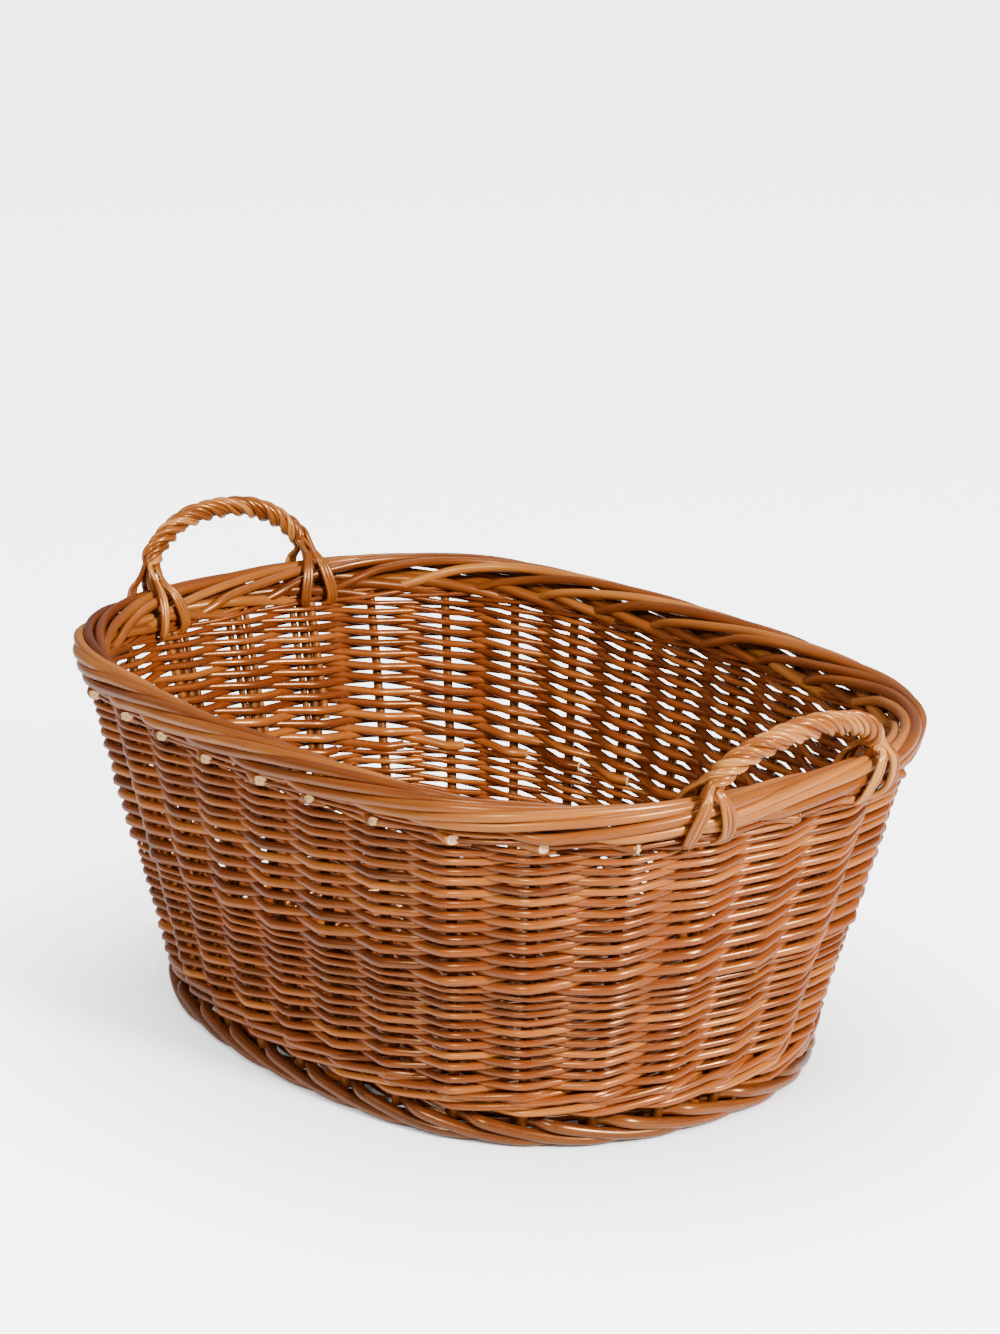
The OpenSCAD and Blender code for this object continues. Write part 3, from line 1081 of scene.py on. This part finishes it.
@dataclass(frozen=True)
class Handle:
    """A roped handle: a bow whose legs go down the wall, with rods wound round it.

    Args:
        word: right or left, as in the CAD nodes' names.
        side: 1 for the +X end, -1 for the other.
        seed: seed for its irregularity.
        leg: place of a leg, in stake spaces from the middle of the end.
        leg_beside: distance from a leg's lower part to the middle of the stake by it.
        turns: turns of the rope round the bow.
        groups: groups of rods in the rope.
        each: rods in a group.
        rod_turn: degrees from one rod of a group to the next.
        tail: the tails' way, as (mm aside, mm between rods, mm out, mm above the rim).
    """

    word: str
    side: int
    seed: int
    leg: float = 1.2
    leg_beside: float = 9.2 * MM
    turns: float = 3.5
    groups: int = 4
    each: int = 3
    rod_turn: float = 20.0
    tail: Tuple[Tuple[float, float, float, float], ...] = (
        (3.5, 1.2, 9.8, 5.4), (6.5, 2.4, 14.4, -0.6), (9.0, 3.2, 16.4, -8.5),
        (11.5, 3.3, 16.2, -17.5), (13.0, 3.0, 14.0, -26.5), (12.0, 2.6, 9.0, -33.0),
        (8.0, 2.0, 4.0, -35.5))

    def build(self, bench: Bench) -> List[bpy.types.Object]:
        """Bend the bow, rope it, and return the two pieces."""
        return [self._core(bench), self._rope(bench)]

    def _placed(self, path: np.ndarray) -> np.ndarray:
        """The path at this handle's end of the basket."""
        return path if self.side > 0 else path * np.array([-1.0, -1.0, 1.0])

    def _bow(self, bench: Bench, t: np.ndarray) -> np.ndarray:
        """The middle of the bow.

        Args:
            bench: what the sub-assemblies share.
            t: shares of the way over, from 0 to 1.

        Returns:
            A point for each share, at the +X end.
        """
        top = bench.wall.top
        low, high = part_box(f"handle_{self.word}_bow")
        leg_top = bench.wall.points(np.array(top), np.array(self.leg), np.array(0.0))
        apex_x = max(abs(low[0]), abs(high[0])) - bench.stake_r
        apex_z = high[2] - bench.stake_r
        lift = np.sin(np.clip(t, 0, 1) * math.pi) ** 0.9
        x = leg_top[0] + (apex_x - leg_top[0]) * lift
        y = leg_top[1] * np.cos(t * math.pi)
        return np.column_stack([x, y, top + (apex_z - top) * lift])

    def _core(self, bench: Bench) -> bpy.types.Object:
        """The bow with its two legs.

        Args:
            bench: what the sub-assemblies share.

        Returns:
            The finished piece.
        """
        wall = bench.wall
        core = RodBundle(f"handle_{self.word}_core", Finish.HANDLE, 12)
        samples = 40
        z = np.linspace(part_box(f"handle_{self.word}_bow")[0][2], wall.top - 1 * MM, samples)
        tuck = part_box("upper_rand_outer")[1][2] - 6 * MM
        beside = 1 + self.leg_beside / wall.space(tuck)
        place = np.interp(z, (tuck, wall.top), (beside, self.leg))
        down = wall.points(z, place, np.zeros(samples))
        other = down[::-1] * np.array([1.0, -1.0, 1.0])
        over = self._bow(bench, np.linspace(0.02, 0.98, 2 * samples))
        core.add(self._placed(np.vstack([down, over, other])),
                 np.full(4 * samples, bench.stake_r * 0.98), 0.4)
        return core.finish_piece([f"handle_{self.word}_bow"])

    def _rope(self, bench: Bench) -> bpy.types.Object:
        """The rods wound round the bow, with their tails over the border.

        Args:
            bench: what the sub-assemblies share.

        Returns:
            The finished piece.
        """
        rope = RodBundle(f"handle_{self.word}_strands", Finish.HANDLE, 8)
        rng = np.random.default_rng(self.seed)
        count, samples = 200, 260
        t = np.linspace(0.085, 0.915, count)
        centre = self._bow(bench, t)
        tangent = np.gradient(centre, axis=0)
        tangent /= np.linalg.norm(tangent, axis=1)[:, None]
        u = np.cross(tangent, np.array([1.0, 0.0, 0.0]))
        u /= np.linalg.norm(u, axis=1)[:, None]
        v = np.cross(tangent, u)
        for g in range(self.groups):
            for k in range(self.each):
                lane = k - (self.each - 1) / 2
                size = rng.uniform(1.75, 2.25) * MM
                w = math.radians(45 + 360 * g / self.groups + lane * self.rod_turn)
                w = w + math.tau * self.turns * (t - t[0]) / (t[-1] - t[0])
                w = w + 0.16 * smooth_noise(rng, count, 22)
                swell = 2.0 * (k % 2) - 1.1 + 0.3 * smooth_noise(rng, count, 18)
                reach = bench.stake_r + size + MM * np.clip(swell, -1.3, 1.2)
                wound = centre + reach[:, None] * (np.cos(w)[:, None] * u + np.sin(w)[:, None] * v)
                head = self._tail(bench, w[0], 1, size, lane)
                foot = self._tail(bench, w[-1], -1, size, lane)
                path = spline(np.vstack([head[::-1], wound[::5], wound[-1:], foot]), samples)
                ends = (1.0, 1.05, 0.8) if (g + k) % 2 else (0.8, 1.05, 1.0)
                radii = size * np.interp(np.linspace(0, 1, samples), (0, 0.5, 1), ends)
                tone = float(np.clip(rng.normal(0.5, 0.24), 0.02, 0.98))
                rope.add(self._placed(path), radii, tone)
        return rope.finish_piece([f"handle_{self.word}_rope"])

    def _tail(self, bench: Bench, w: float, end: int, size: float, lane: float) -> np.ndarray:
        """The end of a strand: over the border, down its face and hooked under it.

        Args:
            bench: what the sub-assemblies share.
            w: angle at which the strand leaves the rope.
            end: 1 for the leg on the +Y side, -1 for the other.
            size: the strand's radius.
            lane: -1, 0 or 1, its place in its group.

        Returns:
            Points from the rope to the tip.
        """
        out = 1.0 if math.sin(w) < 0 else -1.0
        way = math.copysign(1.0, math.cos(w))
        wall = bench.wall
        rows = []
        for share, gap, off, z in self.tail:
            s = self.leg + (share * way + gap * lane) * MM / wall.space(wall.top)
            p = wall.points(np.array(wall.top + z * MM), np.array(s),
                            np.array(out * (off * MM + size * 0.4)))
            rows.append([p[0], end * p[1], p[2]])
        return np.array(rows)


def sub_assemblies() -> Tuple[object, ...]:
    """The basket's sub-assemblies.

    Returns:
        Them all, in the order that they are built in.
    """
    return (
        Wale("upsett_wale", ("upsett_rod_1", "upsett_rod_2", "upsett_rod_inner"),
             3.5 * MM, 8.6 * MM, 2, 5.8 * MM, 3),
        RandBand("lower_rand", ("lower_rand_outer", "lower_rand_inner"),
                 1.5 * MM, 0.6 * MM, 22, 5.7 * MM, 4.5 * MM, 3.4 * MM, 11),
        RandBand("upper_rand", ("upper_rand_outer", "upper_rand_inner"),
                 3.2 * MM, 1.6 * MM, 25, 7.4 * MM, 5.4 * MM, 4.0 * MM, 12),
        Wale("top_wale_rods", ("top_wale",), 1.2 * MM, 4.6 * MM, 2, 3.7 * MM, 5, 0.7),
        Stakes(), ByeStakes(), Foot(), Border(), Base(),
        Handle("right", 1, 31), Handle("left", -1, 32),
    )


def studio() -> None:
    """Floor with a painted contact shadow in its glow, backdrop light and lamps."""
    floor = bpy.data.meshes.new("floor")
    bm = bmesh.new()
    bmesh.ops.create_grid(bm, x_segments=1, y_segments=1, size=14)
    bm.to_mesh(floor)
    bm.free()
    plane = bpy.data.objects.new("floor", floor)
    bpy.context.scene.collection.objects.link(plane)
    paper = bpy.data.materials.new("paper")
    paper.use_nodes = True
    net = Net(paper.node_tree)
    shader = paper.node_tree.nodes["Principled BSDF"]
    shader.inputs["Base Color"].default_value = (0.84, 0.84, 0.84, 1.0)
    shader.inputs["Roughness"].default_value = 1.0
    shader.inputs["Specular IOR Level"].default_value = 0.0
    shader.inputs["Emission Color"].default_value = (1.0, 1.0, 1.0, 1.0)
    seen = net.add("ShaderNodeLightPath").outputs["Is Camera Ray"]
    # The floor's glow, seen only by the camera, is dimmed by ambient occlusion near the basket: a
    # painted contact shadow around and under it.
    painted_shadow_ao = net.add("ShaderNodeAmbientOcclusion", samples=12)
    painted_shadow_ao.inputs["Distance"].default_value = 0.22
    painted_shadow_share = net.math("POWER", painted_shadow_ao.outputs["AO"], 1.6)
    glow_with_painted_shadow = net.math("MULTIPLY", net.math("MULTIPLY", painted_shadow_share, seen), FLOOR_GLOW)
    net.link(glow_with_painted_shadow, shader.inputs["Emission Strength"])
    floor.materials.append(paper)

    world = bpy.data.worlds.new("studio")
    bpy.context.scene.world = world
    world.use_nodes = True
    net = Net(world.node_tree)
    path = net.add("ShaderNodeLightPath")
    strength = net.math("ADD", net.math("MULTIPLY", path.outputs["Is Camera Ray"], SKY_SEEN),
                        SKY_LIGHT)
    strength = net.math("SUBTRACT", strength,
                        net.math("MULTIPLY", path.outputs["Is Glossy Ray"], SKY_GLOSS_LOSS))
    background = world.node_tree.nodes["Background"]
    background.inputs["Color"].default_value = (1.0, 1.0, 1.0, 1.0)
    net.link(strength, background.inputs["Strength"])

    for name, place, size, energy in (("key", (3.3, 0.1, 2.3), 0.55, 430.0),
                                      ("front", (0.6, -3.2, 2.6), 0.6, 110.0),
                                      ("top", (-1.2, 1.0, 3.2), 1.0, 35.0)):
        light = bpy.data.lights.new(name, "AREA")
        light.size, light.energy = size, energy
        lamp = bpy.data.objects.new(name, light)
        lamp.location = place
        aim = Vector((0.0, 0.0, 0.15)) - Vector(place)
        lamp.rotation_euler = aim.to_track_quat("-Z", "Y").to_euler()
        bpy.context.scene.collection.objects.link(lamp)


def camera() -> None:
    """The camera, at the height, turn and distance that the view was solved for."""
    turn, pitch, distance = math.radians(51.294), math.radians(16.763), 2.7605
    back = Vector((math.sin(turn) * math.cos(pitch), -math.cos(turn) * math.cos(pitch),
                   math.sin(pitch)))
    right = Vector((math.cos(turn), math.sin(turn), 0.0))
    target = Vector((0.0, 0.0, 0.2733)) + right * 0.0107
    data = bpy.data.cameras.new("camera")
    data.lens = 100.93
    data.sensor_width = 36.0
    view = bpy.data.objects.new("camera", data)
    view.location = target + back * distance
    view.rotation_euler = (-back).to_track_quat("-Z", "Y").to_euler()
    bpy.context.scene.collection.objects.link(view)
    bpy.context.scene.camera = view


def main() -> None:
    """Build the scene in order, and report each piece."""
    logging.basicConfig(level=logging.INFO)
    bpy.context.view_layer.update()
    camera()
    studio()
    bench = Bench()
    for part in sub_assemblies():
        for piece in part.build(bench):
            log.info("%s: %d faces", piece.name, len(piece.data.polygons))


if __name__ == "__main__":
    main()
